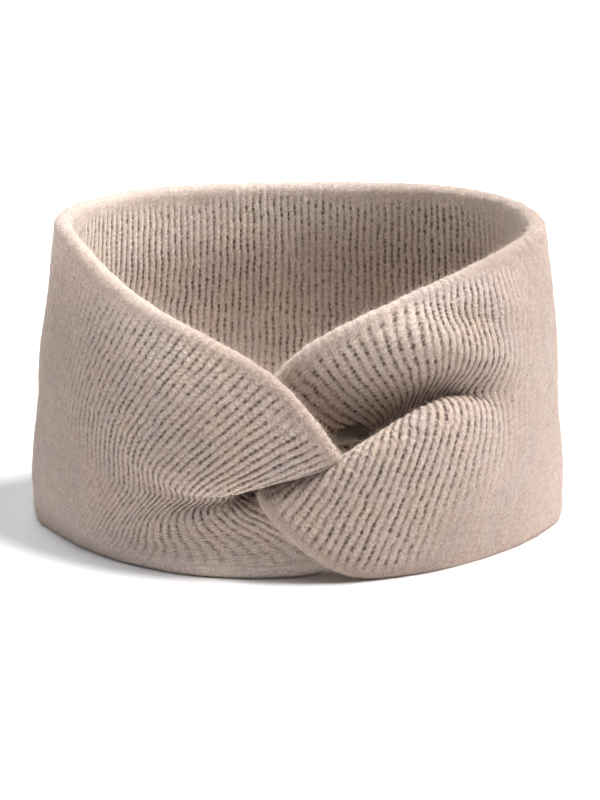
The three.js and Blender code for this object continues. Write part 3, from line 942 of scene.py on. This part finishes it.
def rounded(angle, square):
    """Cosine and sine of an angle, pushed out towards the corners of a square."""
    c, s = np.cos(angle), np.sin(angle)
    scale = (np.abs(c) ** square + np.abs(s) ** square) ** (-1 / square)
    return c * scale, s * scale


def seam_frame():
    """Middle and half sizes of the seam's solid, and its long and short directions."""
    low, high = (np.array(corner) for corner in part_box("twist_seam"))
    lean = math.radians(SEAM["lean"])
    long_way = np.array([math.cos(lean), 0, math.sin(lean)])
    short_way = np.array([-math.sin(lean), 0, math.cos(lean)])
    half = np.array([PAD["long"] * SEAM["half"], (high[1] - low[1]) / 2, 2 * SEAM["layer"]])
    return (low + high) / 2, half, long_way, short_way


def swell(t):
    """The size of the pad's section at a share of its half length."""
    return (1 - np.abs(t) ** PAD["end"]) ** (1 / PAD["end"])


def round_pad(run, size, angles):
    """Points round the pad at a share of its half length, for a section of this size."""
    centre, half, long_way, short_way = seam_frame()
    c, s = rounded(angles, PAD["square"])
    up = (size * s * half[2])[..., None] * short_way
    out = (size * c * half[1])[..., None] * np.array([0, 1, 0])
    return centre + (run * half[0])[..., None] * long_way + up + out


def pad_mesh():
    """The matted pad of the sewn seam: a leaning cushion, pinched where the yarn crosses it."""
    centre, half, long_way, short_way = seam_frame()
    t = np.linspace(-1, 1, PAD["along"] + 1)[1:-1, None]
    pinch = 1 - PAD["pinch"] * np.cos(np.pi * (t * SEWING["stitches"])) ** PAD["sharpness"]
    angles = np.linspace(0, 2 * np.pi, PAD["around"], endpoint=False)[None, :]
    points = round_pad(t, swell(t) * pinch * (1 + patches("matting", t, angles)), angles)
    ends = [centre - half[0] * long_way, centre + half[0] * long_way]
    vertices = np.concatenate([points.reshape(-1, 3), ends])
    quads = grid_faces(len(t), PAD["around"])[:, ::-1].tolist()
    last = (len(t) - 1) * PAD["around"]
    around = range(PAD["around"])
    tips = [(len(vertices) - 2, (k + 1) % PAD["around"], k) for k in around]
    tips += [(len(vertices) - 1, last + k, last + (k + 1) % PAD["around"]) for k in around]
    faces = quads + tips
    local = vertices[corners_of(faces)] - centre
    uv = np.stack([local @ long_way, local @ short_way], axis=-1) / PAD["grain"]
    return vertices, faces, uv


def yarn_tube(line, radius, sides):
    """A round strand along a line of points, closed at its ends."""
    way = unit(np.gradient(line, axis=0))
    first = unit(np.cross(way, np.array([0.31, 0.17, 0.94])))
    second = np.cross(way, first)
    angles = 2 * np.pi * np.arange(sides) / sides
    c, s = (part[None, :, None] for part in (np.cos(angles), np.sin(angles)))
    ring = c * first[:, None] + s * second[:, None]
    vertices = (line[:, None] + radius * ring).reshape(-1, 3)
    quads = grid_faces(len(line), sides)[:, ::-1].tolist()
    last = (len(line) - 1) * sides
    lids = [tuple(range(sides)), tuple(last + k for k in reversed(range(sides)))]
    return vertices, quads + lids


def sewing_mesh():
    """Overcast stitches of yarn that go over the pad from its lower to its upper side."""
    vertices = []
    faces = []
    uv = []
    count = 0
    end = SEWING["round"] * np.pi
    angles = np.linspace(-end, end, SEWING["points"])
    for k in range(SEWING["stitches"]):
        t = (k + 0.5) / SEWING["stitches"] * 2 - 1
        run = SEWING["spread"] * t + SEWING["slant"] * angles / np.pi
        line = round_pad(run, swell(SEWING["size"] * t), angles)
        tube, quads = yarn_tube(line, SEWING["yarn"], SEWING["sides"])
        faces += [tuple(count + corner for corner in face) for face in quads]
        ring, side = np.divmod(corners_of(quads), SEWING["sides"])
        uv.append(np.stack([ring * SEWING["ply"], side / SEWING["sides"]], axis=-1))
        vertices.append(tube)
        count += len(tube)
    return np.concatenate(vertices), faces, np.concatenate(uv)


# Settings that a user would change


def length_setting(name, description, default, low, high):
    """A length property with its default and its range."""
    return bpy.props.FloatProperty(
        name=name, description=description, default=default, min=low, max=high, precision=5, unit="LENGTH"
    )


def strength_setting(name, description, default):
    """A property for the strength of a light."""
    return bpy.props.FloatProperty(name=name, description=description, default=default, min=0.0)


def colour_setting(name, description, default):
    """A colour property with its default."""
    return bpy.props.FloatVectorProperty(
        name=name, description=description, default=default, size=4, min=0, max=1, subtype="COLOR"
    )


class HeadbandKnit(bpy.types.PropertyGroup):
    """Relief and fuzz of the knit."""

    ridge: length_setting("Ridge height", "Height of a wale over the dip beside it", 0.00085, 0, 0.003)
    fibres: bpy.props.IntProperty(
        name="Fibres",
        description="Number of loose fibres in each full layer of fuzz",
        default=60000,
        min=0,
        max=62000,
    )
    fibre_length: length_setting("Fibre length", "Mean length of a loose fibre", 0.0025, 0.0005, 0.01)
    fibre_width: length_setting("Fibre width", "Width of a fibre at its root", 0.00009, 0.00001, 0.0005)


class HeadbandColours(bpy.types.PropertyGroup):
    """Colours of the wool and of the surface that it stands on."""

    body: colour_setting("Body", "Main beige of the wool", (0.5, 0.385, 0.325, 1.0))
    light: colour_setting("Light", "Cream of the palest fibres", (0.82, 0.71, 0.6, 1.0))
    shade: colour_setting("Shade", "Taupe of the darkest fibres", (0.25, 0.18, 0.155, 1.0))
    # Painted shade of the gaps beside the wales and of the yarn's ply grooves
    gap: colour_setting("Gap", "Brown of the gaps beside the wales", (0.07, 0.044, 0.036, 1.0))
    warm: colour_setting("Warm tone", "Warm patches of the wool", (0.58, 0.44, 0.31, 1.0))
    cool: colour_setting("Cool tone", "Cool patches of the wool", (0.45, 0.37, 0.37, 1.0))
    # Painted light: how much each colour is lifted where light is painted on the knit
    painted_light_lift: colour_setting("Painted_light", "How much each colour is lifted on rubbed wool", (0.45, 0.5, 0.52, 1.0))
    surface: colour_setting("Surface", "White of the surface", (0.93, 0.93, 0.935, 1.0))


class HeadbandStudio(bpy.types.PropertyGroup):
    """Light of the studio."""

    key: strength_setting("Key light", "Strength of the sun-like light at the right", 6.0)
    back: strength_setting("Back light", "Strength of the light from behind that lightens the shadow", 1.9)
    room: strength_setting("Room light", "Strength of the even light from all round", 0.06)


# Operators


class HEADBAND_OT_knit(bpy.types.Operator):
    """Knits the strip: both halves of the band, with their stitches in relief."""

    bl_idname = "headband.knit"
    bl_label = "Knit the band"

    def execute(self, context):
        settings = context.scene.headband_knit
        material = knit_material(context.scene.headband_colours, shared_groups())
        rings = knit_rings(settings.ridge)
        middle_ring = WALES // 2 * SAMPLES["wale"]
        last_ring = WALES * SAMPLES["wale"]
        lengths = (
            ("knit_left", 0, middle_ring, "first"),
            ("knit_right", middle_ring, last_ring, "last"),
        )
        for name, first, last, cover in lengths:
            piece = knit_piece(name, rings, first, last, cover, material)
            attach(piece, "root")
            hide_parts("knit_band")
        return {"FINISHED"}


class HEADBAND_OT_fuzz(bpy.types.Operator):
    """Raises the wool's fuzz: loose fibres close to the knit and a finer halo."""

    bl_idname = "headband.fuzz"
    bl_label = "Raise the fuzz"

    def execute(self, context):
        settings = context.scene.headband_knit
        material = fuzz_material(context.scene.headband_colours)
        rings = knit_rings(settings.ridge)
        for seed, (name, layer) in enumerate(FUZZ.items(), SEED + 20):
            count = round(settings.fibres * layer["share"])
            length = settings.fibre_length * layer["length"]
            width = settings.fibre_width * layer["width"]
            vertices, faces, uv = fibre_mesh(rings, count, length, width, layer, seed)
            piece = new_piece(name, vertices, faces, material, uv)
            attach(piece, "root")
        return {"FINISHED"}


class HEADBAND_OT_seam(bpy.types.Operator):
    """Sews the seam behind the twist: a matted pad and its overcast stitches."""

    bl_idname = "headband.seam"
    bl_label = "Sew the seam"

    def execute(self, context):
        material = yarn_material(context.scene.headband_colours, shared_groups())
        vertices, faces, uv = pad_mesh()
        pad = new_piece("seam_pad", vertices, faces, material, uv)
        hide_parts("twist_seam")
        vertices, faces, uv = sewing_mesh()
        sewing = new_piece("seam_stitches", vertices, faces, material, uv)
        for piece in (pad, sewing):
            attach(piece, "root")
        return {"FINISHED"}


class HEADBAND_OT_stage(bpy.types.Operator):
    """Sets the pale surface, the soft lights and the camera at the photograph's angle."""

    bl_idname = "headband.stage"
    bl_label = "Set the stage"

    def execute(self, context):
        scene = context.scene
        studio = scene.headband_studio
        span = 20.0
        corners = [(-span, -span, 0), (span, -span, 0), (span, span, 0), (-span, span, 0)]
        surface = new_piece("surface", corners, [(0, 1, 2, 3)], floor_material(scene.headband_colours))
        for name, sun in SUNS.items():
            sun_light(name, getattr(studio, name), **sun)
        world = bpy.data.worlds.new("white_room")
        world.use_nodes = True
        seen = add(world.node_tree, "ShaderNodeLightPath").outputs["Is Camera Ray"]
        strength = calc(world.node_tree, "MULTIPLY_ADD", seen, 1.0, studio.room)
        world.node_tree.links.new(strength, world.node_tree.nodes["Background"].inputs["Strength"])
        world.node_tree.nodes["Background"].inputs["Color"].default_value = (1.0, 1.0, 1.0, 1.0)
        scene.world = world
        scene.view_settings.view_transform = "Standard"
        set_camera(scene)
        return {"FINISHED"}


def shared_groups():
    """The node groups that more than one material uses, built once."""
    makers = {"stitches": ("Stitches", stitch_group), "melange": ("Spun wool", melange_group)}
    return {key: bpy.data.node_groups.get(name) or make() for key, (name, make) in makers.items()}


def sun_light(name, strength, bearing, breadth, colour):
    """A distant soft light, as SUNS gives it."""
    light = bpy.data.lights.new(name, "SUN")
    light.energy = strength
    light.angle = math.radians(breadth)
    light.color = colour
    lamp = bpy.data.objects.new(name, light)
    round_to, up = (math.radians(degrees) for degrees in bearing)
    level = math.cos(up)
    toward = Vector((math.sin(round_to) * level, -math.cos(round_to) * level, math.sin(up)))
    lamp.rotation_euler = toward.to_track_quat("Z", "Y").to_euler()
    lamp.location = 2 * toward
    bpy.context.scene.collection.objects.link(lamp)


def set_camera(scene):
    """The camera in front of the band and a little above it, level from side to side."""
    camera = bpy.data.cameras.new("photograph")
    camera.lens = CAMERA["lens"]
    camera.sensor_width = CAMERA["sensor"]
    camera.clip_start = 0.01
    holder = bpy.data.objects.new("photograph", camera)
    holder.location = (CENTRING[0], CENTRING[1] - CAMERA["distance"], CAMERA["height"])
    holder.rotation_euler = (math.radians(90 - CAMERA["pitch"]), 0, 0)
    scene.collection.objects.link(holder)
    scene.camera = holder


# Panel, registration and run


class HEADBAND_PT_build(bpy.types.Panel):
    """Lists the steps and the settings."""

    bl_label = "Ear warmer headband"
    bl_idname = "HEADBAND_PT_build"
    bl_space_type = "VIEW_3D"
    bl_region_type = "UI"
    bl_category = "Headband"

    def draw(self, context):
        for operator in OPERATORS:
            self.layout.operator(operator.bl_idname)
        for settings in (getattr(context.scene, name) for name in SETTINGS):
            box = self.layout.box()
            for name in settings.bl_rna.properties.keys():
                if name not in ("rna_type", "name"):
                    box.prop(settings, name)


SETTINGS = {
    "headband_knit": HeadbandKnit,
    "headband_colours": HeadbandColours,
    "headband_studio": HeadbandStudio,
}
OPERATORS = (HEADBAND_OT_knit, HEADBAND_OT_fuzz, HEADBAND_OT_seam, HEADBAND_OT_stage)
CLASSES = (*SETTINGS.values(), *OPERATORS, HEADBAND_PT_build)


def register():
    for cls in CLASSES:
        bpy.utils.register_class(cls)
    for name, cls in SETTINGS.items():
        setattr(bpy.types.Scene, name, bpy.props.PointerProperty(type=cls))


def unregister():
    for name in SETTINGS:
        delattr(bpy.types.Scene, name)
    for cls in reversed(CLASSES):
        bpy.utils.unregister_class(cls)


def main():
    """Registers the add-on and runs every step."""
    register()
    bpy.ops.headband.knit()
    bpy.ops.headband.fuzz()
    bpy.ops.headband.seam()
    bpy.ops.headband.stage()


if __name__ == "__main__":
    main()
